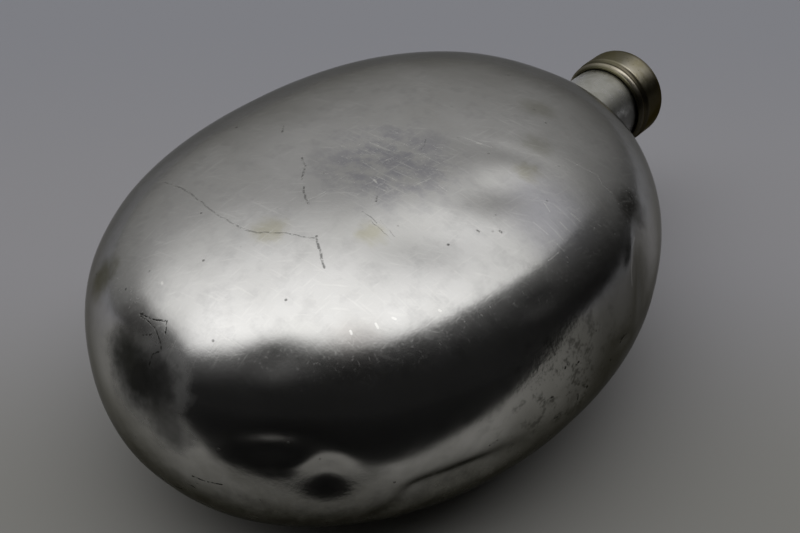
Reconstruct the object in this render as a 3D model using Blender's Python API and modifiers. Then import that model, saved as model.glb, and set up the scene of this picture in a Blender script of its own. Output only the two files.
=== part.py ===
"""Old aluminium canteen: a dented oval body lying on its broad side, a threaded neck and a screw cap.

Metres, +Z up, resting on Z = 0. The neck axis runs along +Y, and X is the width.
"""

import math

import bmesh
import bpy
from mathutils import Matrix, Vector

# Drawn body. The three roundness values are superellipse exponents: 2 is an ellipse, more is squarer.
BODY_LENGTH = 0.175
BODY_WIDTH = 0.138
BODY_THICKNESS = 0.086
PLAN_ROUNDNESS = 2.06
PROFILE_ROUNDNESS = 2.69
SECTION_ROUNDNESS = 2.33
SHELL_WALL = 0.001
BELLY_FLAT_DEPTH = 0.0015

# Clearances.
PIECE_GAP = 0.0003
THREAD_GAP = 0.00035
THREAD_RUNOUT_TURNS = 0.03

# Neck, from the seat pressed into the shoulder up to the lip. Its radius sets all those of neck and cap.
NECK_RADIUS = 0.013
NECK_LENGTH = 0.028
NECK_STEP = 0.001
NECK_WALL = 0.0018
THREAD_CORE_RADIUS = NECK_RADIUS - NECK_STEP
BORE_RADIUS = THREAD_CORE_RADIUS - NECK_WALL
LIP_ROUNDING = 0.0005
FLANGE_WIDTH = 0.002
FLANGE_RADIUS = NECK_RADIUS + FLANGE_WIDTH
FLANGE_THICKNESS = 0.0014
FOOT_FILLET = 0.0015
SPIGOT_WALL = 0.001
SPIGOT_RADIUS = BORE_RADIUS + SPIGOT_WALL
FLARE_WIDTH = 0.0014
FLARE_RADIUS = SPIGOT_RADIUS + FLARE_WIDTH
FLARE_THICKNESS = 0.0008
SEAT_MARGIN = 0.001
SEAT_RADIUS = FLANGE_RADIUS + SEAT_MARGIN

# Round-form thread, right-handed. Its rod is laid on the core of the threaded end.
THREAD_ROD_RADIUS = 0.0009
THREAD_PITCH = 0.003
THREAD_LENGTH = 0.0073
THREAD_START = 0.0013
THREADED_END_LENGTH = 0.0106

# Cap. Heights along the barrel are counted from the rim, and depths from the barrel.
RIM_OVERLAP = 0.0007
LINER_WALL = 0.0019
CAP_WALL = 0.0006
CAP_BARREL_RADIUS = THREAD_CORE_RADIUS + PIECE_GAP + LINER_WALL + PIECE_GAP + CAP_WALL
CAP_CORNER_RADIUS = 0.0048
CAP_CROWN_RISE = 0.0005
RIM_DEPTH = 0.0012
BEAD_DEPTH = 0.0003
BEAD_HEIGHT = 0.0018
BEAD_HALF_WIDTH = 0.0011
GROOVE_DEPTH = 0.0009
GROOVE_HEIGHT = 0.0034
SHOULDER_HEIGHT = 0.0048
LINER_HEIGHT = 0.0051
SEAL_THICKNESS = 0.0038
SEAL_OVERHANG = 0.0006

# Facets.
BODY_STEPS_AROUND = 56
BODY_STEPS_ALONG = 44
ROUND_STEPS = 40
THREAD_STEPS_PER_TURN = 32
CORNER_STEPS = 5
FILLET_STEPS = 3
SHOULDER_STEPS = 2
BEAD_STEPS = 4

# Dents, pressed in square to the surface. Each has its place from the middle of a body with the half-sizes
# below, its half-length, its half-width, its turn in degrees from lying lengthwise, its depth, and its edge,
# where 2 is a soft bell and more is a flatter bottom with a sharper edge. On a body of another size the places
# keep their proportions.
DENTED_HALF_WIDTH = 0.069
DENTED_HALF_LENGTH = 0.0875
DENTED_HALF_THICKNESS = 0.043
DENTS = (
    ("end_hollow", (-0.008, -0.084, 0.019), 0.013, 0.009, 82, 0.0019, 2),
    ("low_end_small", (0.027, -0.070, 0.026), 0.007, 0.005, -19, 0.0005, 2),
    ("low_end_oval", (0.031, -0.077, 0.011), 0.010, 0.0042, -8, 0.0019, 2.6),
    ("low_end_round", (0.041, -0.071, 0), 0.0065, 0.0068, 4, 0.0025, 2),
    ("side_groove", (0.057, -0.048, -0.010), 0.020, 0.0036, -14, 0.0012, 2),
    ("side_dimples", (0.059, -0.015, 0.025), 0.008, 0.005, -6, 0.0003, 2),
    ("shoulder_facet", (0.065, 0.030, 0.010), 0.010, 0.008, 60, 0.0016, 4),
    ("top_near", (0.035, -0.024, 0.038), 0.013, 0.009, -18, 0.0010, 2),
    ("top_far", (0.035, -0.001, 0.039), 0.011, 0.006, -17, 0.0006, 2),
    ("top_scraped", (0.005, -0.008, 0.043), 0.024, 0.012, -30, 0.0008, 2),
)

# Heights along the neck axis, from the body's middle, that follow from the sizes above.
SEAT_ALONG = (1 - (2 * SEAT_RADIUS / BODY_WIDTH) ** PLAN_ROUNDNESS) ** (1 / PLAN_ROUNDNESS)
SEAT_Y = SEAT_ALONG * BODY_LENGTH / 2
FLANGE_Y = SEAT_Y + PIECE_GAP
FLANGE_TOP_Y = FLANGE_Y + FLANGE_THICKNESS
STEP_Y = FLANGE_Y + NECK_LENGTH
LIP_Y = STEP_Y + THREADED_END_LENGTH
THREAD_LOW_Y = STEP_Y + THREAD_START
THREAD_HIGH_Y = THREAD_LOW_Y + THREAD_LENGTH
RIM_Y = STEP_Y - RIM_OVERLAP
LINER_Y = RIM_Y + LINER_HEIGHT
SEAL_Y = LIP_Y + PIECE_GAP
CAP_INNER_TOP_Y = SEAL_Y + SEAL_THICKNESS + PIECE_GAP
CAP_TOP_Y = CAP_INNER_TOP_Y + CAP_WALL
HOLE_RADIUS = SPIGOT_RADIUS + PIECE_GAP

# The body's middle, placed so that the whole canteen is centred on Y and its pressed belly lies on Z = 0.
WHOLE_LENGTH = BODY_LENGTH / 2 + CAP_TOP_Y + CAP_CROWN_RISE
BODY_MIDDLE = Vector((0, BODY_LENGTH / 2 - WHOLE_LENGTH / 2, BODY_THICKNESS / 2 - BELLY_FLAT_DEPTH))


# Scene, collections and materials


def clear_scene():
    for obj in list(bpy.data.objects):
        bpy.data.objects.remove(obj)


def new_collection(name):
    collection = bpy.data.collections.new(name)
    bpy.context.scene.collection.children.link(collection)
    return collection


def make_material(name, colour, roughness, metallic):
    material = bpy.data.materials.new(name)
    material.use_nodes = True
    shader = material.node_tree.nodes["Principled BSDF"]
    shader.inputs["Base Color"].default_value = (*colour, 1)
    shader.inputs["Roughness"].default_value = roughness
    shader.inputs["Metallic"].default_value = metallic
    material.diffuse_color = (*colour, 1)
    return material


def add_object(name, mesh, collection, parent=None):
    obj = bpy.data.objects.new(name, mesh)
    collection.objects.link(obj)
    obj.parent = parent
    return obj


def mesh_from_bmesh(name, bm):
    mesh = bpy.data.meshes.new(name)
    bm.to_mesh(mesh)
    bm.free()
    return mesh


def add_axis(name, place, collection, parent=None):
    """An empty whose own Z axis is a joint's or a turned piece's axis."""
    axis = add_object(name, None, collection, parent)
    axis.location = place
    axis.empty_display_size = 0.02
    return axis


# The body's shape


def superellipse(along, roundness):
    return max(0.0, 1 - abs(along) ** roundness) ** (1 / roundness)


def body_point(along, around):
    """A point of the undented body, from its middle. Around is the angle from +X towards the top."""
    across, up = math.cos(around), math.sin(around)
    reach = (abs(across) ** SECTION_ROUNDNESS + abs(up) ** SECTION_ROUNDNESS) ** (-1 / SECTION_ROUNDNESS)
    return Vector((
        BODY_WIDTH / 2 * superellipse(along, PLAN_ROUNDNESS) * across * reach,
        BODY_LENGTH / 2 * along,
        BODY_THICKNESS / 2 * superellipse(along, PROFILE_ROUNDNESS) * up * reach,
    ))


def dent_frame(target, turn):
    """The dent's middle on the body beside the target, and its long, short and outward directions."""
    along = target.y / DENTED_HALF_LENGTH
    half_width = DENTED_HALF_WIDTH * superellipse(along, PLAN_ROUNDNESS)
    half_height = DENTED_HALF_THICKNESS * superellipse(along, PROFILE_ROUNDNESS)
    around = math.atan2(target.z / half_height, target.x / half_width)
    step = 1e-4
    middle = body_point(along, around)
    lengthwise = (body_point(along + step, around) - body_point(along - step, around)).normalized()
    crosswise = (body_point(along, around + step) - body_point(along, around - step)).normalized()
    outward = crosswise.cross(lengthwise).normalized()
    outward *= 1 if outward.dot(middle) > 0 else -1
    turned = Matrix.Rotation(turn, 3, outward) @ lengthwise
    return middle, turned, outward.cross(turned), outward


def dent_depth(point):
    """How far all the dents together press in this point of the undented body."""
    depth = 0.0
    for _, target, half_length, half_width, turn, deepest, edge in DENTS:
        frame = dent_frame(Vector(target), math.radians(turn))
        middle, lengthwise, crosswise, outward = frame
        away = point - middle
        spread = (
            (away.dot(lengthwise) / half_length) ** 2
            + (away.dot(crosswise) / half_width) ** 2
            + (away.dot(outward) / half_length) ** 2
        )
        depth += deepest * math.exp(-(spread ** (edge / 2)))
    return depth


def make_body_shell(collection, material):
    """A sphere of rings around Y, moved onto the body's shape, open at the shoulder, with a wall."""
    bm = bmesh.new()
    bmesh.ops.create_uvsphere(bm, u_segments=BODY_STEPS_AROUND, v_segments=BODY_STEPS_ALONG, radius=1)
    bmesh.ops.rotate(bm, verts=bm.verts, matrix=Matrix.Rotation(-math.pi / 2, 3, "X"))
    shoulder_pole = max(bm.verts, key=lambda vert: vert.co.y)
    bmesh.ops.delete(bm, geom=[shoulder_pole], context="VERTS")

    last_ring = math.pi / 2 - math.pi / BODY_STEPS_ALONG
    seat_latitude = math.asin(SEAT_ALONG)
    stretch = (math.pi / 2 + seat_latitude) / (math.pi / 2 + last_ring)
    for vert in bm.verts:
        latitude = math.asin(max(-1.0, min(1.0, vert.co.y)))
        along = math.sin((latitude + math.pi / 2) * stretch - math.pi / 2)
        vert.co = body_point(along, math.atan2(vert.co.z, vert.co.x))

    bm.normal_update()
    for vert in bm.verts:
        if not vert.is_boundary:
            vert.co -= vert.normal * dent_depth(vert.co)

    rim = [edge for edge in bm.edges if edge.is_boundary]
    hole = bmesh.ops.extrude_edge_only(bm, edges=rim)["geom"]
    for vert in hole:
        if isinstance(vert, bmesh.types.BMVert):
            radius = math.hypot(vert.co.x, vert.co.z)
            vert.co.x *= HOLE_RADIUS / radius
            vert.co.z *= HOLE_RADIUS / radius

    for vert in bm.verts:
        vert.co += BODY_MIDDLE
        vert.co.z = max(vert.co.z, 0.0)
    bmesh.ops.recalc_face_normals(bm, faces=bm.faces)
    mesh = mesh_from_bmesh("body_shell", bm)
    mesh.shade_smooth()
    mesh.materials.append(material)
    shell = add_object("body_shell", mesh, collection)
    wall = shell.modifiers.new("wall", "SOLIDIFY")
    wall.thickness = SHELL_WALL
    wall.offset = -1
    wall.use_even_offset = True
    return shell


# Turned and threaded pieces, drawn around their own Z axis, which the parent empty lays along the neck


def arc(centre_radius, centre_height, radius, start, end, steps):
    """Profile points (radius, height) on an arc, angles in degrees from +radius up."""
    points = []
    for i in range(steps + 1):
        angle = math.radians(start + (end - start) * i / steps)
        points.append((centre_radius + radius * math.cos(angle), centre_height + radius * math.sin(angle)))
    return points


def turned(name, profile, closed, base, collection, parent, material):
    """Turns a profile of (radius, height) around the piece's Z axis; base is the height of its origin."""
    bm = bmesh.new()
    verts = [bm.verts.new((radius, 0, height - base)) for radius, height in profile]
    for first, second in zip(verts, verts[1:] + verts[:1] if closed else verts[1:]):
        bm.edges.new((first, second))
    mesh = mesh_from_bmesh(name, bm)
    mesh.materials.append(material)
    piece = add_object(name, mesh, collection, parent)
    turn = piece.modifiers.new("turn", "SCREW")
    turn.steps = turn.render_steps = ROUND_STEPS
    turn.use_merge_vertices = True
    turn.merge_threshold = 1e-5
    turn.use_smooth_shade = True
    return piece


def thread_rod(name, rod_radius, low, high, base, collection, parent):
    """A right-handed helical rod on the thread's core, as a closed mesh that a Boolean can use."""
    curve = bpy.data.curves.new(name, "CURVE")
    curve.dimensions = "3D"
    curve.bevel_depth = rod_radius
    curve.bevel_resolution = 2
    curve.use_fill_caps = True
    turns = (high - low) / THREAD_PITCH
    count = math.ceil(turns * THREAD_STEPS_PER_TURN) + 1
    spline = curve.splines.new("POLY")
    spline.points.add(count - 1)
    for i, point in enumerate(spline.points):
        height = low + (high - low) * i / (count - 1)
        angle = 2 * math.pi * (height - THREAD_LOW_Y) / THREAD_PITCH
        point.co = (
            THREAD_CORE_RADIUS * math.cos(angle),
            THREAD_CORE_RADIUS * math.sin(angle),
            height - base,
            1,
        )
    guide = add_object(name + "_guide", curve, collection, parent)
    bpy.context.view_layer.update()
    graph = bpy.context.evaluated_depsgraph_get()
    mesh = bpy.data.meshes.new_from_object(guide.evaluated_get(graph))
    bm = bmesh.new()
    bm.from_mesh(mesh)
    bmesh.ops.remove_doubles(bm, verts=bm.verts, dist=1e-6)
    bmesh.ops.recalc_face_normals(bm, faces=bm.faces)
    bm.to_mesh(mesh)
    bm.free()
    rod = add_object(name, mesh, collection, parent)
    rod.hide_render = True
    rod.display_type = "WIRE"
    bpy.data.objects.remove(guide)
    return rod


def combine(piece, other, operation):
    boolean = piece.modifiers.new(operation.lower(), "BOOLEAN")
    boolean.operation = operation
    boolean.solver = "EXACT"
    boolean.object = other


def make_neck_collar(collection, helpers, axis, material):
    flare_top = SEAT_Y - SHELL_WALL - PIECE_GAP
    flare_low = flare_top - FLARE_THICKNESS
    profile = [
        (BORE_RADIUS + LIP_ROUNDING, LIP_Y),
        (THREAD_CORE_RADIUS - LIP_ROUNDING, LIP_Y),
        (THREAD_CORE_RADIUS, LIP_Y - LIP_ROUNDING),
        (THREAD_CORE_RADIUS, STEP_Y),
        (NECK_RADIUS, STEP_Y - (NECK_RADIUS - THREAD_CORE_RADIUS) / 2),
    ]
    foot = arc(NECK_RADIUS + FOOT_FILLET, FLANGE_TOP_Y + FOOT_FILLET, FOOT_FILLET, 180, 270, FILLET_STEPS)
    profile += foot
    profile += [
        (FLANGE_RADIUS, FLANGE_TOP_Y),
        (FLANGE_RADIUS, FLANGE_Y),
        (SPIGOT_RADIUS, FLANGE_Y),
        (SPIGOT_RADIUS, flare_top),
        (FLARE_RADIUS, flare_top),
        (FLARE_RADIUS, flare_low),
        (BORE_RADIUS, flare_low),
        (BORE_RADIUS, LIP_Y - LIP_ROUNDING),
    ]
    collar = turned("neck_collar", profile, True, SEAT_Y, collection, axis, material)
    rod = thread_rod("thread_rod", THREAD_ROD_RADIUS, THREAD_LOW_Y, THREAD_HIGH_Y, SEAT_Y, helpers, axis)
    combine(collar, rod, "UNION")
    return collar


def make_cap_shell(collection, axis, material):
    corner_radius = CAP_BARREL_RADIUS - CAP_CORNER_RADIUS
    corner_height = CAP_TOP_Y - CAP_CORNER_RADIUS
    groove_radius = CAP_BARREL_RADIUS - GROOVE_DEPTH
    bead_radius = CAP_BARREL_RADIUS - BEAD_DEPTH
    rim_radius = CAP_BARREL_RADIUS - RIM_DEPTH
    profile = []
    for part in (0, 0.5):
        profile.append((corner_radius * part, CAP_TOP_Y + CAP_CROWN_RISE * (1 - part**2)))
    profile += arc(corner_radius, corner_height, CAP_CORNER_RADIUS, 90, 0, CORNER_STEPS)
    profile += arc(groove_radius, RIM_Y + SHOULDER_HEIGHT, GROOVE_DEPTH, 0, -60, SHOULDER_STEPS)
    profile.append((groove_radius, RIM_Y + GROOVE_HEIGHT))
    for i in range(BEAD_STEPS + 1):
        part = 1 - 2 * i / BEAD_STEPS
        foot = groove_radius if part > 0 else rim_radius
        swell = (bead_radius - foot) * math.cos(part * math.pi / 2)
        profile.append((foot + swell, RIM_Y + BEAD_HEIGHT + part * BEAD_HALF_WIDTH))
    profile.append((rim_radius, RIM_Y))
    shell = turned("cap_shell", profile, False, RIM_Y, collection, axis, material)
    wall = shell.modifiers.new("wall", "SOLIDIFY")
    wall.thickness = CAP_WALL
    wall.offset = -1
    wall.use_even_offset = True
    return shell


def make_cap_thread_liner(collection, helpers, axis, material):
    inner = THREAD_CORE_RADIUS + PIECE_GAP
    outer = inner + LINER_WALL
    profile = [(inner, LIP_Y), (outer, LIP_Y), (outer, LINER_Y), (inner, LINER_Y)]
    liner = turned("cap_thread_liner", profile, True, RIM_Y, collection, axis, material)
    groove_rod = THREAD_ROD_RADIUS + THREAD_GAP
    high = THREAD_HIGH_Y + THREAD_RUNOUT_TURNS * THREAD_PITCH
    low = LINER_Y - groove_rod - THREAD_GAP
    rod = thread_rod("thread_groove", groove_rod, low, high, RIM_Y, helpers, axis)
    combine(liner, rod, "DIFFERENCE")
    return liner


def make_seal_disc(collection, axis, material):
    """Its upper edge is rounded to lie under the cap's inner corner."""
    corner_radius = CAP_BARREL_RADIUS - CAP_CORNER_RADIUS
    corner_height = CAP_TOP_Y - CAP_CORNER_RADIUS
    radius = CAP_CORNER_RADIUS - CAP_WALL - PIECE_GAP
    seal_radius = THREAD_CORE_RADIUS + SEAL_OVERHANG
    edge = math.degrees(math.acos(min(1.0, (seal_radius - corner_radius) / radius)))
    profile = [(0, SEAL_Y + SEAL_THICKNESS)]
    profile += arc(corner_radius, corner_height, radius, 90, edge, FILLET_STEPS)
    profile += [(seal_radius, SEAL_Y), (0, SEAL_Y)]
    return turned("seal_disc", profile, False, LIP_Y, collection, axis, material)


def main():
    clear_scene()
    pieces = new_collection("aluminium_canteen")
    helpers = new_collection("cutters")
    aluminium = make_material("drawn_aluminium", (0.60, 0.60, 0.61), 0.32, 1.0)
    neck_metal = make_material("turned_aluminium", (0.66, 0.65, 0.63), 0.28, 1.0)
    plate = make_material("tarnished_nickel_plate", (0.42, 0.39, 0.28), 0.30, 1.0)
    brass = make_material("bare_brass", (0.55, 0.42, 0.20), 0.35, 1.0)
    rubber = make_material("seal_rubber", (0.05, 0.035, 0.03), 0.75, 0.0)

    neck_axis = add_axis("neck_axis", BODY_MIDDLE + Vector((0, SEAT_Y, 0)), pieces)
    neck_axis.rotation_euler = (-math.pi / 2, 0, 0)
    cap_lift_axis = add_axis("cap_lift_axis", (0, 0, LIP_Y - SEAT_Y), pieces, neck_axis)
    cap_turn_axis = add_axis("cap_turn_axis", (0, 0, RIM_Y - LIP_Y), pieces, cap_lift_axis)

    make_body_shell(pieces, aluminium)
    make_neck_collar(pieces, helpers, neck_axis, neck_metal)
    make_seal_disc(pieces, cap_lift_axis, rubber)
    make_cap_shell(pieces, cap_turn_axis, plate)
    make_cap_thread_liner(pieces, helpers, cap_turn_axis, brass)


main()
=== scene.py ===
# %% [markdown]
# # An old aluminium canteen
#
# The canteen is a flattened oval flask of drawn aluminium. It lies on its broad side with a short neck and
# a nickel-plated screw cap pointing away from us. Years of use have dented its closed end and its side, and
# polished the metal to a worn satin. The CAD model gives the places and sizes of the pieces, and this scene
# gives the looks and the finer dents.

# %% Load the CAD frame
import math

import bmesh
import bpy
from mathutils import Matrix, Vector, noise


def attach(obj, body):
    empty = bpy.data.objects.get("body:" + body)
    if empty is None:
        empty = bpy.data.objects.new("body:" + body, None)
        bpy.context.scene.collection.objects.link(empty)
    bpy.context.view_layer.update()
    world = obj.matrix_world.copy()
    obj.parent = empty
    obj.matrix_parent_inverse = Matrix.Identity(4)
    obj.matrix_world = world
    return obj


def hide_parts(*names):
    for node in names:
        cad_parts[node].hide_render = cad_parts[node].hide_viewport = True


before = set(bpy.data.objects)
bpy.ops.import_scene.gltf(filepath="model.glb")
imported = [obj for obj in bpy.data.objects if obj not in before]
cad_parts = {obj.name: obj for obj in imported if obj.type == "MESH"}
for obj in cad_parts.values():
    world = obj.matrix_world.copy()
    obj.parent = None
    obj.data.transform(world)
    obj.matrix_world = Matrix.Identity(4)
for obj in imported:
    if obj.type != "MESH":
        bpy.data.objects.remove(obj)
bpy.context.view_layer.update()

# %% [markdown]
# ## Colours and nodes
#
# Colours are easiest to pick as the hex values of a paint or a screen, but Blender's shaders add light up
# in linear values, so one function turns the first into the second. Another adds a shader node with its
# settings and its links and hands on the output, so that a material reads as a short recipe. A Map Range
# node is fed its value, the range that this comes from and the range that it goes to, in that order, and
# goes to 0 and 1 where no more is said.

# %% Helpers for colours and nodes
def linear(hex_colour):
    """An sRGB hex colour as a linear colour with alpha."""
    channels = [int(hex_colour[i : i + 2], 16) / 255 for i in (1, 3, 5)]
    return (*[c / 12.92 if c <= 0.04045 else ((c + 0.055) / 1.055) ** 2.4 for c in channels], 1)


def add(tree, kind, inputs=(), output=None, **settings):
    """Adds a node, sets it, feeds its inputs in order or by name, and gives its first or named output."""
    node = tree.nodes.new("ShaderNode" + kind)
    for name, value in settings.items():
        setattr(node, name, value)
    for key, value in inputs.items() if isinstance(inputs, dict) else enumerate(inputs):
        if isinstance(value, bpy.types.NodeSocket):
            tree.links.new(value, node.inputs[key])
        else:
            node.inputs[key].default_value = value
    return node.outputs[output] if output else next((s for s in node.outputs if s.enabled), None)


print("helpers ready, middle grey is", [round(c, 3) for c in linear("#808080")[:3]])

# %% [markdown]
# ## Camera
#
# The photograph looks down along the canteen from its closed end. A 54 mm lens at a third of a metre gives
# the same strong perspective, in which the near end looks much bigger than the neck. Place and angles were
# found by matching the outline of the body, the neck and the cap.

# %% Camera
BODY_MIDDLE = Vector((0, -0.02114, 0.0415))
CAMERA_AZIMUTH, CAMERA_ELEVATION = math.radians(39.26), math.radians(36.98)
CAMERA_DISTANCE = 0.33268
CAMERA_SIDESTEP, CAMERA_LIFT = 0.00357, -0.00107
LENS_MM, SENSOR_MM = 54, 36
NEAREST_SEEN = 0.01

back = Vector((
    math.sin(CAMERA_AZIMUTH) * math.cos(CAMERA_ELEVATION),
    -math.cos(CAMERA_AZIMUTH) * math.cos(CAMERA_ELEVATION),
    math.sin(CAMERA_ELEVATION),
))
right = Vector((math.cos(CAMERA_AZIMUTH), math.sin(CAMERA_AZIMUTH), 0))
camera_data = bpy.data.cameras.new("camera")
camera_data.sensor_width = SENSOR_MM
camera_data.lens = LENS_MM
camera_data.clip_start = NEAREST_SEEN
camera = bpy.data.objects.new("camera", camera_data)
bpy.context.scene.collection.objects.link(camera)
camera.location = (
    BODY_MIDDLE + right * CAMERA_SIDESTEP + back.cross(right) * CAMERA_LIFT + back * CAMERA_DISTANCE
)
camera.rotation_euler = (-back).to_track_quat("-Z", "Y").to_euler()
bpy.context.scene.camera = camera
bpy.context.scene.view_settings.view_transform = "Standard"
print("camera at", [round(c, 3) for c in camera.location])

# %% [markdown]
# ## Light
#
# Polished metal shows the room more than its own colour, so the room is the most important material here.
# It has one broad soft light in the ceiling, whose near and right sides end above the canteen, a paler wall
# on the far left, and a dim rest. A direction is followed up to a ceiling one metre above the table, and
# the light is laid out there. It is smooth everywhere, so it leaves no hard lamp edges in the metal.

# %% Room light
CEILING_LEVEL, WALL_LEVEL, DIM_LEVEL = 1.08, 0.3, 0.01
CEILING_FULL, CEILING_DARK = 0.6, 2.8
WALL_START, WALL_END = -0.06, 1.13
LOWEST_RISE, HORIZON_BLUR = 0.05, 0.02
RIGHTWARD, NEARER, TO_THE_WALL = (1, 0, 0), (0.65, -0.76, 0), (-0.565, 0.32, 0.76)

world = bpy.data.worlds.new("soft_room")
bpy.context.scene.world = world
world.use_nodes = True
tree = world.node_tree
tree.nodes.clear()
direction = add(tree, "TexCoord", output="Generated")
height = add(tree, "VectorMath", [direction, (0, 0, 1)], operation="DOT_PRODUCT")
risen = add(tree, "Math", [height, LOWEST_RISE], operation="MAXIMUM")
reach = add(tree, "Math", [1, risen], operation="DIVIDE")
overhead = add(tree, "VectorMath", {0: direction, "Scale": reach}, operation="SCALE")
level_only = add(tree, "VectorMath", [overhead, (1, 1, 0)], operation="MULTIPLY")
radius = add(tree, "VectorMath", [level_only], operation="LENGTH")
fading = [radius, CEILING_FULL, CEILING_DARK, CEILING_LEVEL, 0]
panel = add(tree, "MapRange", fading, interpolation_type="SMOOTHSTEP")
for across, start, end, first, last in (
    # direction, where the light changes and where it has changed, how much is left before and after
    (RIGHTWARD, 0.71, 0.77, 1, 0),
    (NEARER, 0.28, 0.78, 1, 0),
    (NEARER, -1.3, 0.6, 0.02, 1),
):
    place = add(tree, "VectorMath", [overhead, across], operation="DOT_PRODUCT")
    side = add(tree, "MapRange", [place, start, end, first, last], interpolation_type="SMOOTHSTEP")
    panel = add(tree, "Math", [panel, side], operation="MULTIPLY")
leftward = add(tree, "VectorMath", [direction, TO_THE_WALL], operation="DOT_PRODUCT")
fading = [leftward, WALL_START, WALL_END, 0, WALL_LEVEL]
wall_light = add(tree, "MapRange", fading, interpolation_type="SMOOTHSTEP")
above = add(tree, "MapRange", [height, -HORIZON_BLUR, HORIZON_BLUR])
glow = add(tree, "Math", [panel, wall_light], operation="ADD")
glow = add(tree, "Math", [glow, above, DIM_LEVEL], operation="MULTIPLY_ADD")
room = add(tree, "Background", {"Color": linear("#ffffff"), "Strength": glow})
add(tree, "OutputWorld", {"Surface": room})
print("room light: ceiling", CEILING_LEVEL, "wall", WALL_LEVEL)

# %% [markdown]
# ## Floor
#
# The floor is plain pale card, a little cooler at the far end, and darker towards the viewer as painted
# shade for the light falling off. In the photograph's room the table ended a little way towards the viewer,
# and the lower half of the metal still shows the dark beyond it. Only reflections see that dark part here:
# Light
# Path's Is Camera Ray keeps the floor itself pale from every side. Matt card has hardly any gloss of its
# own, so its roughness is high and its specular level low.

# %% Floor
FLOOR_HALF = 40
TABLE_EDGE_START, TABLE_EDGE_END = 0.112, 0.128
TOWARDS_VIEWER = (0.633, -0.774, 0)

bm = bmesh.new()
bmesh.ops.create_grid(bm, x_segments=1, y_segments=1, size=FLOOR_HALF)
floor_mesh = bpy.data.meshes.new("floor")
bm.to_mesh(floor_mesh)
bm.free()
floor = bpy.data.objects.new("floor", floor_mesh)
bpy.context.scene.collection.objects.link(floor)

card = bpy.data.materials.new("matt_card")
card.use_nodes = True
tree = card.node_tree
place = add(tree, "TexCoord", output="Object")
place = add(tree, "VectorMath", [place, BODY_MIDDLE], operation="SUBTRACT")
nearness = add(tree, "VectorMath", [place, TOWARDS_VIEWER], operation="DOT_PRODUCT")
# Painted shade: the card is darker towards the viewer, for the light falling off.
shade = linear("#abacb3")
for start, end, colour in ((-0.25, -0.06, "#b2b1b5"), (-0.06, 0.06, "#a3a29e")):
    part = add(tree, "MapRange", [nearness, start, end], interpolation_type="SMOOTHSTEP")
    shade = add(tree, "Mix", {"Factor": part, "A": shade, "B": linear(colour)}, data_type="RGBA")
table_edge = [nearness, TABLE_EDGE_START, TABLE_EDGE_END]
beyond = add(tree, "MapRange", table_edge, interpolation_type="SMOOTHSTEP")
seen = add(tree, "LightPath", output="Is Camera Ray")
reflected = add(tree, "Math", [1, seen], operation="SUBTRACT")
beyond = add(tree, "Math", [beyond, reflected], operation="MULTIPLY")
shade = add(tree, "Mix", {"Factor": beyond, "A": shade, "B": linear("#090909")}, data_type="RGBA")
shader = tree.nodes["Principled BSDF"]
tree.links.new(shade, shader.inputs["Base Color"])
shader.inputs["Roughness"].default_value = 0.9
shader.inputs["Specular IOR Level"].default_value = 0.15
floor_mesh.materials.append(card)
print("floor", 2 * FLOOR_HALF, "m square")

# %% [markdown]
# ## The body
#
# A canteen body is drawn and spun from one sheet, so it has no seams. Its plan, its profile and its section
# are each a superellipse, which is an ellipse with an exponent for how square it looks. The mesh starts as
# a fine sphere whose vertices are moved onto that shape, the same one that the CAD model has with far fewer
# facets.

# %% The body's plain shape
BODY_LENGTH, BODY_WIDTH, BODY_THICKNESS = 0.175, 0.138, 0.086
PLAN_ROUNDNESS, PROFILE_ROUNDNESS, SECTION_ROUNDNESS = 2.06, 2.69, 2.33
BODY_STEPS_AROUND, BODY_STEPS_ALONG = 220, 176
SHELL_WALL = 0.001
SEAT_RADIUS, HOLE_RADIUS = 0.016, 0.0115
SEAT_ALONG = (1 - (2 * SEAT_RADIUS / BODY_WIDTH) ** PLAN_ROUNDNESS) ** (1 / PLAN_ROUNDNESS)


def superellipse(along, roundness):
    return max(0.0, 1 - abs(along) ** roundness) ** (1 / roundness)


def body_point(along, around):
    """A point of the undented body, from its middle. Around is the angle from +X towards the top."""
    across, up = math.cos(around), math.sin(around)
    reach = (abs(across) ** SECTION_ROUNDNESS + abs(up) ** SECTION_ROUNDNESS) ** (-1 / SECTION_ROUNDNESS)
    return Vector((
        BODY_WIDTH / 2 * superellipse(along, PLAN_ROUNDNESS) * across * reach,
        BODY_LENGTH / 2 * along,
        BODY_THICKNESS / 2 * superellipse(along, PROFILE_ROUNDNESS) * up * reach,
    ))


print("the neck's seat is", round(1000 * SEAT_ALONG * BODY_LENGTH / 2, 1), "mm from the body's middle")

# %% [markdown]
# ## Dents
#
# Each dent is pressed in square to the surface around one point, deepest there and fading out like a bell.
# Its edge is 2 for that soft bell, and more for a flatter bottom with a sharper edge. Long ones are
# grooves, and one with a negative depth is the metal pushed up beside a blow. The smallest are pits that
# only a reflection gives away. A dent's middle is given in millimetres from the body's middle, which is how
# one would point at it on the real thing.

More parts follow.
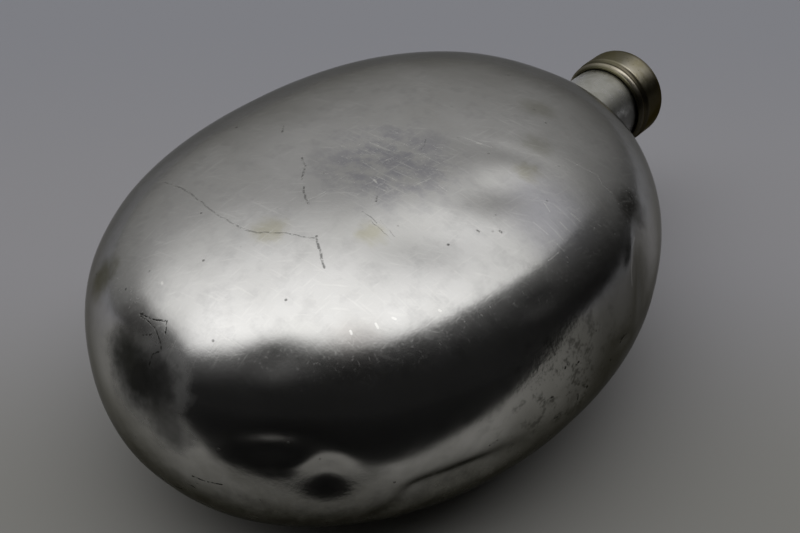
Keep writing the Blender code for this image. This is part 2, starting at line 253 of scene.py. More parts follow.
# %% Where the dents are
DENTS = (
    # name, middle in mm, half-length, half-width, turn from lengthwise in degrees, depth, edge
    ("end_hollow", (-8, -84, 19), 13, 9, 82, 1.9, 2),
    ("end_fold", (2, -86, 17), 4, 1.0, 76, -0.2, 2),
    ("low_end_small", (27, -70, 26), 7, 5, -19, 0.45, 2),
    ("low_end_oval", (31, -77.5, 8.5), 10, 4.4, -4, 1.4, 2),
    ("low_end_round", (41, -71, 0), 6.5, 6.8, 4, 2.5, 2),
    ("low_end_line", (35, -77, 2), 7, 1.2, 2, 0.06, 2),
    ("side_groove", (59.5, -44, -8), 15, 4, 3, 1.9, 2),
    ("side_groove_end", (52, -56.5, -12.5), 8, 3.6, 52, 1.1, 2),
    ("side_streak", (53, -57, 0), 5, 1.2, -8, 0.1, 2),
    ("side_dimples", (59, -15, 25), 7, 3, -6, 0.3, 2),
    ("side_notch", (68, 12, 1), 5, 1.5, -20, 0.8, 2),
    ("side_pit_high", (67, -15, 10), 3.5, 2, 15, 0.15, 2),
    ("side_pit_low", (68, -10, -3), 3.5, 2.2, 60, 0.2, 2),
    ("side_pit_near", (67, -21, 2), 3, 2, -20, 0.15, 2),
    ("side_ripple", (66, -28, 4), 5, 2.2, 30, 0.12, 2),
    ("shoulder_facet", (65, 30, 10), 11, 8, 60, 1.6, 2.6),
    ("shoulder_ridge", (62, 22, 19), 6.5, 1.3, 30, -0.35, 2),
    ("top_near", (35, -24, 38), 13, 9, -18, 1.4, 2),
    ("top_far", (35, -1, 39), 11, 6, -17, 1.0, 2),
    ("top_step", (28, 14, 41), 12, 3.5, -65, 0.25, 2),
    ("top_scraped", (5, -8, 43), 24, 12, -30, 0.8, 2),
)


def dent_frame(middle_mm, turn):
    """The dent's middle on the plain surface and its lengthwise, crosswise and outward directions."""
    target = Vector(middle_mm) / 1000
    along = 2 * target.y / BODY_LENGTH
    half_width = BODY_WIDTH / 2 * superellipse(along, PLAN_ROUNDNESS)
    half_height = BODY_THICKNESS / 2 * superellipse(along, PROFILE_ROUNDNESS)
    around = math.atan2(target.z / half_height, target.x / half_width)
    step = 1e-4
    middle = body_point(along, around)
    lengthwise = (body_point(along + step, around) - body_point(along - step, around)).normalized()
    crosswise = (body_point(along, around + step) - body_point(along, around - step)).normalized()
    outward = crosswise.cross(lengthwise).normalized()
    outward *= 1 if outward.dot(middle) > 0 else -1
    turned = Matrix.Rotation(math.radians(turn), 3, outward) @ lengthwise
    return middle, turned, outward.cross(turned), outward


DENT_FRAMES = [dent_frame(dent[1], dent[4]) for dent in DENTS]
FADED_OUT = 4  # half-lengths from its middle, where a dent no longer shows


def dent_depth(point):
    """How far all the dents together press in this point of the undented body, in metres."""
    depth = 0.0
    for (_, _, half_length, half_width, _, deepest, edge), directions in zip(DENTS, DENT_FRAMES):
        middle, lengthwise, crosswise, outward = directions
        away = (point - middle) * 1000
        if away.length > FADED_OUT * half_length:
            continue
        spread = (
            (away.dot(lengthwise) / half_length) ** 2
            + (away.dot(crosswise) / half_width) ** 2
            + (away.dot(outward) / half_length) ** 2
        )
        depth += deepest * math.exp(-(spread ** (edge / 2)))
    return depth / 1000


print(len(DENTS), "dents, the deepest", max(dent[5] for dent in DENTS), "mm")

# %% [markdown]
# ## The body's mesh
#
# The sphere's rings are moved along the body so that the last one lies where the neck is seated, and from
# it a flat ring is extruded in to the hole. The dents are pressed along the normals, together with a faint
# unevenness from years of knocks, which only the reflections show. Knocks go inwards too, so the body never
# outgrows the CAD model. The underside is pressed flat where it lies, and a Solidify modifier gives the
# sheet its thickness inwards.

# %% Body mesh
KNOCK_DEPTH, KNOCK_SIZE = 0.0001, 0.014

bm = bmesh.new()
bmesh.ops.create_uvsphere(bm, u_segments=BODY_STEPS_AROUND, v_segments=BODY_STEPS_ALONG, radius=1)
bmesh.ops.rotate(bm, verts=bm.verts, matrix=Matrix.Rotation(-math.pi / 2, 3, "X"))
shoulder_pole = max(bm.verts, key=lambda vert: vert.co.y)
bmesh.ops.delete(bm, geom=[shoulder_pole], context="VERTS")
last_ring = math.pi / 2 - math.pi / BODY_STEPS_ALONG
stretch = (math.pi / 2 + math.asin(SEAT_ALONG)) / (math.pi / 2 + last_ring)
for vert in bm.verts:
    latitude = math.asin(max(-1.0, min(1.0, vert.co.y)))
    along = math.sin((latitude + math.pi / 2) * stretch - math.pi / 2)
    vert.co = body_point(along, math.atan2(vert.co.z, vert.co.x))
bm.normal_update()
for vert in bm.verts:
    if not vert.is_boundary:
        knocks = KNOCK_DEPTH * (1 + noise.noise(vert.co / KNOCK_SIZE))
        vert.co -= vert.normal * (dent_depth(vert.co) + knocks)
rim = [edge for edge in bm.edges if edge.is_boundary]
for item in bmesh.ops.extrude_edge_only(bm, edges=rim)["geom"]:
    if isinstance(item, bmesh.types.BMVert):
        radius = math.hypot(item.co.x, item.co.z)
        item.co.x *= HOLE_RADIUS / radius
        item.co.z *= HOLE_RADIUS / radius
for vert in bm.verts:
    vert.co += BODY_MIDDLE
    vert.co.z = max(vert.co.z, 0.0)
bmesh.ops.recalc_face_normals(bm, faces=bm.faces)
body_mesh = bpy.data.meshes.new("canteen_body")
bm.to_mesh(body_mesh)
bm.free()
body_mesh.shade_smooth()
body = bpy.data.objects.new("canteen_body", body_mesh)
bpy.context.scene.collection.objects.link(body)
sheet = body.modifiers.new("sheet", "SOLIDIFY")
sheet.thickness = SHELL_WALL
sheet.offset = -1
print("body has", len(body_mesh.polygons), "faces")

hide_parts("body_shell")
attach(body, "bottle")

# %% [markdown]
# ## Marks on metal
#
# A finish reads the place on the canteen in millimetres from the body's middle, so that every pattern has
# its real size. A scratch is a line through a few points: a pixel is marked when it is nearer to that line
# than half the scratch's width. The line is judged straight on from outside, so it needs no exact height.
# Fine hairlines from years of wiping are noise stretched a long way in one direction, of which only the
# crests show. Short flecks are the middles of Voronoi cells, stretched a little.

# %% Helpers for marks
MILLIMETRE = 0.001
PIXEL_MM = 0.28  # what a pixel covers in the middle of the picture
FAR_OFF = 100  # mm, farther from a line than any width
SIDE_BLUR_START, SIDE_BLUR_END = 6, 3  # mm behind the lowest point of a group of lines


def start_finish(name, piece):
    """Gives a piece a new material. Returns its node tree, its shader and the place in mm."""
    material = bpy.data.materials.new(name)
    material.use_nodes = True
    piece.data.materials.clear()
    piece.data.materials.append(material)
    tree = material.node_tree
    metres = add(tree, "TexCoord", output="Object")
    placing = {"Vector": metres, "Location": BODY_MIDDLE, "Scale": (MILLIMETRE,) * 3}
    return tree, tree.nodes["Principled BSDF"], add(tree, "Mapping", placing, vector_type="TEXTURE")


def near_lines(tree, place, outward, half_width, lines):
    """1 on lines through points in mm and 0 past their half-width, judged straight on from outward."""
    outward = Vector(outward).normalized()
    height = add(tree, "VectorMath", [place, outward], operation="DOT_PRODUCT")
    off = add(tree, "VectorMath", [place, outward], operation="PROJECT")
    flat = add(tree, "VectorMath", [place, off], operation="SUBTRACT")
    nearest = FAR_OFF
    for points in lines:
        points = [Vector(point) for point in points]
        flat_points = [point - outward * point.dot(outward) for point in points]
        for start, end in zip(flat_points, flat_points[1:]):
            run = end - start
            away = add(tree, "VectorMath", [flat, start], operation="SUBTRACT")
            part = add(tree, "VectorMath", [away, run / run.length_squared], operation="DOT_PRODUCT")
            foot = {0: run, "Scale": add(tree, "Clamp", [part])}
            foot = add(tree, "VectorMath", foot, operation="SCALE")
            gap = add(tree, "VectorMath", [away, foot], operation="DISTANCE")
            nearest = add(tree, "Math", [nearest, gap], operation="MINIMUM")
    lowest = min(Vector(point).dot(outward) for points in lines for point in points)
    this_side = add(tree, "MapRange", [height, lowest - SIDE_BLUR_START, lowest - SIDE_BLUR_END])
    line = add(tree, "MapRange", [nearest, half_width, 0.4 * half_width], interpolation_type="SMOOTHSTEP")
    return add(tree, "Math", [line, this_side], operation="MULTIPLY")


def hairlines(tree, place, turn, length, spacing):
    """Fine scratches, turned in degrees from crosswise: the crests of noise stretched along them."""
    stretch = {"Vector": place, "Rotation": (0, 0, math.radians(turn)), "Scale": (length, spacing, length)}
    stretched = add(tree, "Mapping", stretch, vector_type="TEXTURE")
    streaks = add(tree, "TexNoise", {"Vector": stretched, "Scale": 1, "Detail": 1})
    return add(tree, "MapRange", [streaks, 0.62, 0.76])


def flecks(tree, place, turn, length, spacing):
    """Short strokes, turned in degrees from crosswise: the middles of stretched Voronoi cells."""
    stretch = {"Vector": place, "Rotation": (0, 0, math.radians(turn)), "Scale": (length, spacing, length)}
    stretched = add(tree, "Mapping", stretch, vector_type="TEXTURE")
    cells = add(tree, "TexVoronoi", {"Vector": stretched, "Scale": 1})
    return add(tree, "MapRange", [cells, 0.25, 0.1], interpolation_type="SMOOTHSTEP")


print("a hairline 0.2 mm wide is", round(0.2 / PIXEL_MM, 1), "pixels wide in the middle of the picture")

# %% [markdown]
# ## Drawn aluminium
#
# The body was drawn from sheet and then polished, and decades of handling turned the polish into a clean
# satin on top, with a scraped patch and many light scratches. The lower half is darker and duller, an
# olive-grey with dark specks, and its side is pocked. The hollow at the closed end is black with old dirt,
# which is not metal and so takes the shine away, and where the dirt patches reach beyond the hollow they are
# painted shade. A dark patch low on the right shoulder only darkens it. Each stain is a soft round patch
# with a ragged edge.

# %% Where the marks are
STAINS = (
    # name, middle in mm, radius in mm, the metal's colour there, how much of it
    ("end_shade", (-10, -80, 24), 10, "#6b6660", 0.5),
    # The dirt patches are old dirt in the end hollow; where they reach beyond it they are painted shade.
    ("end_dirt", (-4, -86, 15), 15, "#272724", 1.0),
    ("end_dirt_left", (-11, -84, 17), 9, "#2c2d28", 0.9),
    ("end_dirt_right", (4, -84, 17), 12, "#1d1d1c", 0.9),
    ("end_dirt_low", (8, -86, 7), 10, "#33332f", 0.7),
    ("end_olive", (-29, -72, 23), 8, "#75714a", 0.65),
    ("yellow_middle", (5, -48, 40), 6, "#b3ac7c", 0.4),
    ("yellow_right", (24, -34, 40), 5, "#bdb684", 0.35),
    ("olive_far", (21, 38, 40), 7, "#9a977c", 0.3),
    ("olive_far_low", (31, 23, 39), 6, "#9c9a80", 0.3),
    ("yellow_far", (36, 12, 39), 5, "#a8a37c", 0.4),
    ("brown_right", (39, -57, 28), 9, "#8d7d74", 0.25),
    ("side_grey", (68, -14, 4), 30, "#8f8e88", 0.5),
    ("lilac_right", (48, 6, 34), 18, "#bbbbc6", 0.5),
    # shoulder_dark only darkens the right shoulder low down.
    ("shoulder_dark", (67, 12, 8), 36, "#48473f", 0.75),
    ("shoulder_brown", (56, 33, 25), 9, "#3c392f", 0.7),
)
DARK_LINES = (
    # seen from, half-width in mm, how dark, lines through points in mm
    (
        (0, -0.2, 1),
        0.3,
        0.42,
        (
            ((-35, -45, 35), (-24, -47, 38), (-13, -50, 39), (-3, -51, 39), (3, -50, 39)),
            ((3, -50, 39), (8, -47, 40), (12, -45, 40), (15, -44, 40)),
        ),
    ),
    (
        (0, 0, 1),
        0.4,
        0.6,
        (
            ((15, -43, 40), (18, -45.5, 39), (21, -47.5, 38), (22.5, -48.5, 37.5)),
            ((-23, -14, 42), (-21, -16.5, 42)),
            ((18, -25.5, 42), (17, -23.5, 42)),
            ((-8, -23, 42), (-4.5, -25.5, 42), (-1.5, -30, 42)),
            ((1, -32, 42), (4, -35, 41), (6.5, -36, 41)),
            ((39.5, -14, 37), (40, -14, 37)),
            ((43, -10, 36), (43.5, -10, 36)),
        ),
    ),
    (
        (0, 0, 1),
        0.17,
        0.4,
        (
            ((18, -30, 41), (23, -30.5, 40.5)),
            ((21, -31, 40.5), (28, -32, 39)),
            ((23, -29.5, 40.5), (28, -30.5, 39.5)),
            ((12.5, -1.5, 42.5), (10.5, 3.5, 43)),
        ),
    ),
    (
        (-0.1, -0.8, 0.6),
        0.3,
        0.9,
        (
            ((-9.5, -77.5, 26), (-7.5, -77.5, 26.5), (-5.5, -77.5, 26.5),
             (-3, -77, 27), (-1.5, -76.5, 27.5)),
            ((-8.5, -78, 26), (-6, -78, 26), (-3.5, -78.5, 25.5),
             (-2, -79.5, 25), (0, -80.5, 24), (1, -81, 23)),
            ((1, -81, 23), (-1, -82, 21.5), (-1.5, -83, 20.5), (-1.5, -83.5, 19)),
            ((-6, -80.5, 23.5), (-3.5, -80, 24.5)),
            ((-1, -76.5, 27.5), (0.5, -78.5, 25.5)),
        ),
    ),
    (
        (0.2, -1, -0.1),
        0.35,
        0.9,
        (
            ((13, -86, -5.5), (16, -85, -5.5)),
            ((17, -85, -5.5), (20.5, -83.5, -5)),
            ((5, -85.5, -15), (8, -85.5, -13.5)),
            ((10.5, -86, -9.5), (12.5, -85.5, -10)),
        ),
    ),
    (
        (1, -0.2, 0),
        0.5,
        0.9,
        (
            ((68, -10, 8), (68, -10.6, 8)),
            ((67.5, -14, 9.5), (67.5, -14.5, 9)),
            ((67.5, -19.5, 3), (67.5, -20.3, 3.4)),
            ((68.5, -13, 0.5), (68.5, -13.8, 0.8)),
            ((68.5, -9, -4.5), (68.5, -9.4, -2.5)),
            ((68, -16, -5), (67.5, -18.5, -5)),
            ((63.5, -36, -1), (63, -38, -1.5)),
            ((69, -5.5, -2.5), (69, -6, -2)),
            ((68, 11, 0.5), (68, 14.5, 1)),
        ),
    ),
)
NICKS = (
    # bright ones, points in mm
    ((39, -50.5, 31), (39.5, -50.5, 30)),
    ((36, -55.5, 30.5), (36.3, -55.6, 30)),
    ((41, -47, 31.5), (41.8, -46.8, 31.5)),
    ((-8, -70.5, 31.5), (-7.7, -70.7, 31.4)),
    ((46.5, -37.5, 30.5), (46.9, -37.4, 30.4)),
    ((20.5, 11.3, 41), (21.5, 11.7, 41)),
    ((12.5, -19.3, 42), (13.3, -19.7, 42)),
)
LIGHT_LINES = (
    # light scratches, points in mm
    ((5.5, -15, 43), (11.5, -16, 42.5), (16.5, -16, 42)),
    ((11, -19, 42.5), (14, -20, 42)),
    ((5, -35.5, 41.5), (6, -33, 41.5), (6.5, -30.5, 42)),
    ((21, -14.5, 41.5), (22, -9.5, 41.5)),
    ((25, -10, 41), (27.5, -10, 40.5)),
    ((16.5, 10.5, 42.5), (21, 11.5, 41.5), (24.5, 12.5, 41)),
    ((38.5, 25.5, 37), (43, 27.5, 34.5), (46, 29.5, 33), (48.5, 28, 31.5), (51, 29, 29.5)),
    ((46.5, -0.5, 34.5), (50.5, 0, 32.5)),
    ((44.5, 7, 35.5), (47, 6, 34.5)),
    ((50, 6, 32.5), (52, 6, 31)),
    ((50, 11, 32.5), (52.5, 11.5, 31)),
    ((54.5, -5.5, 29.5), (54.5, -1, 29.5)),
    ((54.8, 16, 28.5), (55.4, 16.4, 28.5)),
    ((52.5, 0, 31), (55, 0.5, 29)),
    # The last line, along the shoulder ridge, is worn bare metal and also a painted highlight on the ridge.
    ((60, 27, 21), (61.5, 23, 20), (64, 19.5, 17), (65.5, 18, 13.5)),
)
dark_count = sum(len(lines) for *_, lines in DARK_LINES)
print(len(STAINS), "stains,", dark_count, "dark scratches")
print(len(LIGHT_LINES), "light scratches,", len(NICKS), "nicks")

# %% Drawn aluminium: colour
RIPPLE_SIZE, CLOUD_SIZE, MOTTLE_SIZE, GRAIN_SIZE = 3, 22, 5, 0.9
STAIN_RAGGEDNESS, SCRATCH_WAVE, LOWER_EDGE_RAGGEDNESS = 5, 1.5, 20
PLAIN_ABOVE, DARKER_BELOW = 20, -5
SCRAPED_MIDDLE, SCRAPED_RADIUS, SCRAPED_CORE = (10, -11, 42), 24, 6

tree, shader, place = start_finish("drawn_aluminium", body)
ripple = add(tree, "TexNoise", {"Vector": place, "Scale": 1 / RIPPLE_SIZE, "Detail": 3}, "Color")
ripple = add(tree, "VectorMath", [ripple, (0.5, 0.5, 0.5)], operation="SUBTRACT")
ragged = add(tree, "VectorMath", [ripple, (STAIN_RAGGEDNESS,) * 3, place], operation="MULTIPLY_ADD")
wavy = add(tree, "VectorMath", [ripple, (SCRATCH_WAVE,) * 3, place], operation="MULTIPLY_ADD")
clouds = add(tree, "TexNoise", {"Vector": place, "Scale": 1 / CLOUD_SIZE, "Detail": 3})
mottle = {"Vector": place, "Scale": 1 / MOTTLE_SIZE, "Detail": 4, "Roughness": 0.6}
mottle = add(tree, "TexNoise", mottle)
grain = add(tree, "TexNoise", {"Vector": place, "Scale": 1 / GRAIN_SIZE, "Detail": 2})
rise = add(tree, "SeparateXYZ", [ragged], "Z")
lower_half = add(tree, "Math", [clouds, LOWER_EDGE_RAGGEDNESS, rise], operation="MULTIPLY_ADD")
lower_half = add(tree, "MapRange", [lower_half, PLAIN_ABOVE, DARKER_BELOW], interpolation_type="SMOOTHSTEP")

cloudy = add(tree, "MapRange", [clouds, 0.35, 0.65])
colour = add(
    tree, "Mix", {"Factor": cloudy, "A": linear("#d9d8d5"), "B": linear("#e4e3e1")}, data_type="RGBA"
)
mottled = add(tree, "MapRange", [mottle, 0.5, 0.72, 0, 0.35])
colour = add(tree, "Mix", {"Factor": mottled, "A": colour, "B": linear("#bcbbba")}, data_type="RGBA")
scraped = add(tree, "VectorMath", [ragged, SCRAPED_MIDDLE], operation="DISTANCE")
scraped = add(tree, "MapRange", [scraped, SCRAPED_RADIUS, SCRAPED_CORE], interpolation_type="SMOOTHSTEP")
rubbed = add(tree, "MapRange", [mottle, 0.42, 0.6, 0, 0.7])
rubbed = add(tree, "Math", [rubbed, scraped], operation="MULTIPLY")
colour = add(tree, "Mix", {"Factor": rubbed, "A": colour, "B": linear("#bcbbc3")}, data_type="RGBA")
# Darker and duller towards the bottom, below a ragged edge.
lower_darkening = add(tree, "Math", [lower_half, 0.92], operation="MULTIPLY")
speckled = add(tree, "Math", [grain, 0.4, mottle], operation="MULTIPLY_ADD")
speckled = add(tree, "MapRange", [speckled, 0.55, 0.85])
lower_colour = add(
    tree, "Mix", {"Factor": speckled, "A": linear("#57564f"), "B": linear("#7a7971")}, data_type="RGBA"
)
colour = add(tree, "Mix", {"Factor": lower_darkening, "A": colour, "B": lower_colour}, data_type="RGBA")
# The dirt mask also carries that painted shade beyond the end hollow.
dirt = 0
for name, middle, radius, stain_colour, strength in STAINS:
    distance = add(tree, "VectorMath", [ragged, middle], operation="DISTANCE")
    stain = add(
        tree, "MapRange", [distance, radius, 0.2 * radius, 0, strength], interpolation_type="SMOOTHSTEP"
    )
    colour = add(tree, "Mix", {"Factor": stain, "A": colour, "B": linear(stain_colour)}, data_type="RGBA")
    if name == "side_grey":
        worn_side = stain
    if "dirt" in name:
        dirt = add(tree, "Math", [dirt, stain], operation="MAXIMUM")
pocked = add(tree, "Math", [grain, 0.6, mottle], operation="MULTIPLY_ADD")
pocks = add(tree, "MapRange", [pocked, 0.83, 0.98, 0, 1.3])
pocks = add(tree, "Math", [pocks, worn_side], operation="MULTIPLY")
colour = add(tree, "Mix", {"Factor": pocks, "A": colour, "B": linear("#4b4a45")}, data_type="RGBA")
print("the aluminium has", len(tree.nodes), "nodes for its colour and stains")

# %% Drawn aluminium: scratches
SPECK_SPACING = 7
BORDER_HEIGHT = 27  # where the bright top meets the dark side, and flecks show best

dark_lines = 0
for outward, half_width, darkness, lines in DARK_LINES:
    line = near_lines(tree, wavy, outward, half_width, lines)
    line = add(tree, "Math", [line, darkness], operation="MULTIPLY")
    dark_lines = add(tree, "Math", [dark_lines, line], operation="MAXIMUM")
broken = add(tree, "MapRange", [grain, 0.4, 0.55, 0.1, 1])
dark_lines = add(tree, "Math", [dark_lines, broken], operation="MULTIPLY")
specks = add(tree, "TexVoronoi", {"Vector": place, "Scale": 1 / SPECK_SPACING})
specks = add(tree, "MapRange", [specks, 0.07, 0.03, 0, 0.7], interpolation_type="SMOOTHSTEP")
clustered = add(tree, "MapRange", [mottle, 0.4, 0.6])
specks = add(tree, "Math", [specks, clustered], operation="MULTIPLY")
dark_marks = add(tree, "Math", [dark_lines, specks], operation="MAXIMUM")
colour = add(tree, "Mix", {"Factor": dark_marks, "A": colour, "B": linear("#23231f")}, data_type="RGBA")

fine = 0
# Real hairlines are finer than a pixel, so these are as coarse as they need to be to show.
for turn, length, spacing in ((3, 9, 0.6), (84, 7, 0.7), (38, 6, 0.8)):
    fine = add(tree, "Math", [fine, hairlines(tree, place, turn, length, spacing)], operation="MAXIMUM")
patchy = add(tree, "MapRange", [clouds, 0.35, 0.6, 0.3, 1])
patchy = add(tree, "Math", [scraped, 0.5, patchy], operation="MULTIPLY_ADD")
on_top = add(tree, "MapRange", [rise, 20, 28])
wiped = add(tree, "Math", [patchy, on_top], operation="MULTIPLY")
fine = add(tree, "Math", [fine, wiped], operation="MULTIPLY")

# Bright flecks along the edge of the top are knocks, and also painted glints where the bright top meets the
# dark side.
off_border = add(tree, "Math", [rise, BORDER_HEIGHT], operation="SUBTRACT")
off_border = add(tree, "Math", [off_border], operation="ABSOLUTE")
edge_flecks_and_glints = add(tree, "MapRange", [off_border, 5, 1, 0, 0.75])
edge_flecks_and_glints = add(tree, "Math", [edge_flecks_and_glints, scraped], operation="MAXIMUM")
short = 0
for turn, length in ((-5, 2.4), (80, 2)):
    short = add(tree, "Math", [short, flecks(tree, wavy, turn, length, 0.7)], operation="MAXIMUM")
short = add(tree, "Math", [short, edge_flecks_and_glints], operation="MULTIPLY")

nicks = near_lines(tree, place, (0.6, -0.4, 0.7), 0.38, NICKS)
light_lines = near_lines(tree, place, (0.4, 0, 1), 0.2, LIGHT_LINES)
bright = add(tree, "Math", [fine, 0.4, nicks], operation="MULTIPLY_ADD")
bright = add(tree, "Math", [short, 0.4, bright], operation="MULTIPLY_ADD")
bright = add(tree, "Math", [light_lines, 0.4, bright], operation="MULTIPLY_ADD", use_clamp=True)
colour = add(tree, "Mix", {"Factor": bright, "A": colour, "B": linear("#f6f5f1")}, data_type="RGBA")
tree.links.new(colour, shader.inputs["Base Color"])
print("the aluminium has", len(tree.nodes), "nodes so far")

# %% Drawn aluminium: gloss and relief
SATIN_ROUGHNESS = 0.15, 0.21
DIRT_METALLIC = 0.3
GRAZING_TINT = "#a3a29b"  # oxide keeps the rim from going white where one looks along it

metal = add(tree, "MapRange", [dirt, 0.1, 1, 1, DIRT_METALLIC])
tree.links.new(metal, shader.inputs["Metallic"])
shader.inputs["Specular Tint"].default_value = linear(GRAZING_TINT)
gloss = add(tree, "MapRange", [mottle, 0.3, 0.7, *SATIN_ROUGHNESS])
for mark, rougher in (
    (lower_half, 0.08),
    (dirt, 0.3),
    (dark_marks, 0.3),
    (fine, 0.06),
    (short, 0.1),
    (light_lines, 0.08),
    (nicks, 0.03),
):
    gloss = add(tree, "Math", [mark, rougher, gloss], operation="MULTIPLY_ADD")
tree.links.new(gloss, shader.inputs["Roughness"])

relief = add(tree, "Math", [grain, 0.008], operation="MULTIPLY")
pitted = add(tree, "Math", [worn_side, 1.6, lower_half], operation="MULTIPLY_ADD")
pitted = add(tree, "Math", [pitted, pocked], operation="MULTIPLY")
for mark, raised_mm in (
    (mottle, 0.02),
    (clouds, 0.1),
    (pitted, -0.1),
    (dark_lines, -0.02),
    (specks, -0.03),
    (fine, -0.003),
):
    relief = add(tree, "Math", [mark, raised_mm, relief], operation="MULTIPLY_ADD")
bump = add(tree, "Bump", {"Height": relief, "Strength": 1, "Distance": MILLIMETRE})
tree.links.new(bump, shader.inputs["Normal"])
print("the aluminium has", len(tree.nodes), "nodes")

# %% [markdown]
# ## The neck
#
# The neck is turned from a thicker piece: a flange on the shoulder, a plain barrel, and a thinner threaded
# end under the cap. One closed profile is spun around the neck axis. The round thread is raised on the
# finished barrel, as rolling does it: each vertex is lifted by its distance from the nearest crest of the
# helix, and the thread runs out at both ends.

# %% Turned pieces
ROUND_STEPS = 160
MERGE_DISTANCE = 1e-6


def arc(centre_radius, centre_height, radius, start, end, steps=8):
    """Profile points (radius, height) on an arc, angles in degrees from +radius up."""
    angles = [math.radians(start + (end - start) * i / steps) for i in range(steps + 1)]
    return [
        (centre_radius + radius * math.cos(angle), centre_height + radius * math.sin(angle))
        for angle in angles
    ]


def turned(name, profile, closed):
    """Spins a profile of (radius, height above the body's middle) around the neck axis into a new object."""
    bm = bmesh.new()
    verts = [bm.verts.new((radius, height, 0)) for radius, height in profile]
    for first, second in zip(verts, verts[1:] + verts[:1] if closed else verts[1:]):
        bm.edges.new((first, second))
    outline = bm.verts[:] + bm.edges[:]
    bmesh.ops.spin(bm, geom=outline, axis=(0, 1, 0), angle=math.tau, steps=ROUND_STEPS, use_merge=True)
    bmesh.ops.remove_doubles(bm, verts=bm.verts, dist=MERGE_DISTANCE)
    bmesh.ops.translate(bm, verts=bm.verts, vec=BODY_MIDDLE)
    bmesh.ops.recalc_face_normals(bm, faces=bm.faces)
    mesh = bpy.data.meshes.new(name)
    bm.to_mesh(mesh)
    bm.free()
    mesh.shade_smooth()
    piece = bpy.data.objects.new(name, mesh)
    bpy.context.scene.collection.objects.link(piece)
    return piece


print("turned pieces have", ROUND_STEPS, "steps around")

# %% Neck
NECK_RADIUS, CORE_RADIUS, BORE_RADIUS = 0.013, 0.012, 0.0102
FLANGE_RADIUS, FLANGE_THICKNESS, FOOT_FILLET = 0.015, 0.0014, 0.0015
SPIGOT_RADIUS, FLARE_RADIUS, FLARE_THICKNESS = 0.0112, 0.0126, 0.0008
LIP_ROUNDING, STEP_ROUNDING, FLANGE_ROUNDING = 0.0005, 0.0004, 0.0003
NECK_LENGTH, THREADED_LENGTH, PIECE_GAP = 0.028, 0.0106, 0.0003
THREAD_PITCH, THREAD_ROD_RADIUS, THREAD_START, THREAD_END = 0.003, 0.0009, 0.0013, 0.0086
THREAD_ROWS, RUN_OUT_TURNS = 72, 0.2
STEP_DROP, RIM_OVERLAP = 0.0005, 0.0007

SEAT_Y = SEAT_ALONG * BODY_LENGTH / 2
FLANGE_Y = SEAT_Y + PIECE_GAP
STEP_Y = FLANGE_Y + NECK_LENGTH
LIP_Y = STEP_Y + THREADED_LENGTH
THREAD_LOW_Y, THREAD_HIGH_Y = STEP_Y + THREAD_START, STEP_Y + THREAD_END
RIM_Y = STEP_Y - RIM_OVERLAP

flange_top = FLANGE_Y + FLANGE_THICKNESS
flange_edge = FLANGE_RADIUS - FLANGE_ROUNDING
core_top = LIP_Y - LIP_ROUNDING
profile = arc(BORE_RADIUS + LIP_ROUNDING, core_top, LIP_ROUNDING, 180, 90, 4)
profile += arc(CORE_RADIUS - LIP_ROUNDING, core_top, LIP_ROUNDING, 90, 0, 4)
profile += [
    (CORE_RADIUS, core_top - (core_top - STEP_Y) * i / THREAD_ROWS) for i in range(1, THREAD_ROWS + 1)
]
profile += arc(NECK_RADIUS - STEP_ROUNDING, STEP_Y - STEP_DROP, STEP_ROUNDING, 80, 0, 4)
profile += arc(NECK_RADIUS + FOOT_FILLET, flange_top + FOOT_FILLET, FOOT_FILLET, 180, 270)
profile += arc(flange_edge, flange_top - FLANGE_ROUNDING, FLANGE_ROUNDING, 90, 0, 3)
profile += arc(flange_edge, FLANGE_Y + FLANGE_ROUNDING, FLANGE_ROUNDING, 0, -90, 3)
flare_top = SEAT_Y - SHELL_WALL - PIECE_GAP
profile += [(SPIGOT_RADIUS, FLANGE_Y), (SPIGOT_RADIUS, flare_top), (FLARE_RADIUS, flare_top)]
profile += [(FLARE_RADIUS, flare_top - FLARE_THICKNESS), (BORE_RADIUS, flare_top - FLARE_THICKNESS)]
neck = turned("neck", profile, True)
print("the neck's profile has", len(profile), "points")

# %% The neck's thread
ON_THE_CORE = 1e-5

for vert in neck.data.vertices:
    place = vert.co - BODY_MIDDLE
    radius = math.hypot(place.x, place.z)
    if abs(radius - CORE_RADIUS) > ON_THE_CORE or place.y < STEP_Y:
        continue
    turns = (place.y - THREAD_LOW_Y) / THREAD_PITCH - math.atan2(-place.z, place.x) / math.tau
    off_crest = (turns - round(turns)) * THREAD_PITCH
    crest_y = place.y - off_crest
    run_out = min(crest_y - THREAD_LOW_Y, THREAD_HIGH_Y - crest_y) / (RUN_OUT_TURNS * THREAD_PITCH)
    rise = math.sqrt(max(0.0, THREAD_ROD_RADIUS**2 - off_crest**2)) * max(0.0, min(1.0, run_out))
    vert.co.x *= (radius + rise) / radius
    vert.co.z = BODY_MIDDLE.z + place.z * (radius + rise) / radius
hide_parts("neck_collar")
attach(neck, "bottle")
print("neck has", len(neck.data.polygons), "faces")

# %% [markdown]
# ## Turned aluminium
#
# A lathe leaves fine rings around a neck, and handling has rounded them off. Next to the cap's rim a
# grey-brown band is a painted reflection of the brass cap, the neck is darker where it meets its flange,
# and its underside is darkened with painted shade.

# %% Turned aluminium
RING_SPACING = 0.35  # coarser than a lathe's feed, so that the rings show
FOG_SIZE = 4
NECK_SHADED_SIDE = (0.6, 0, -0.8)

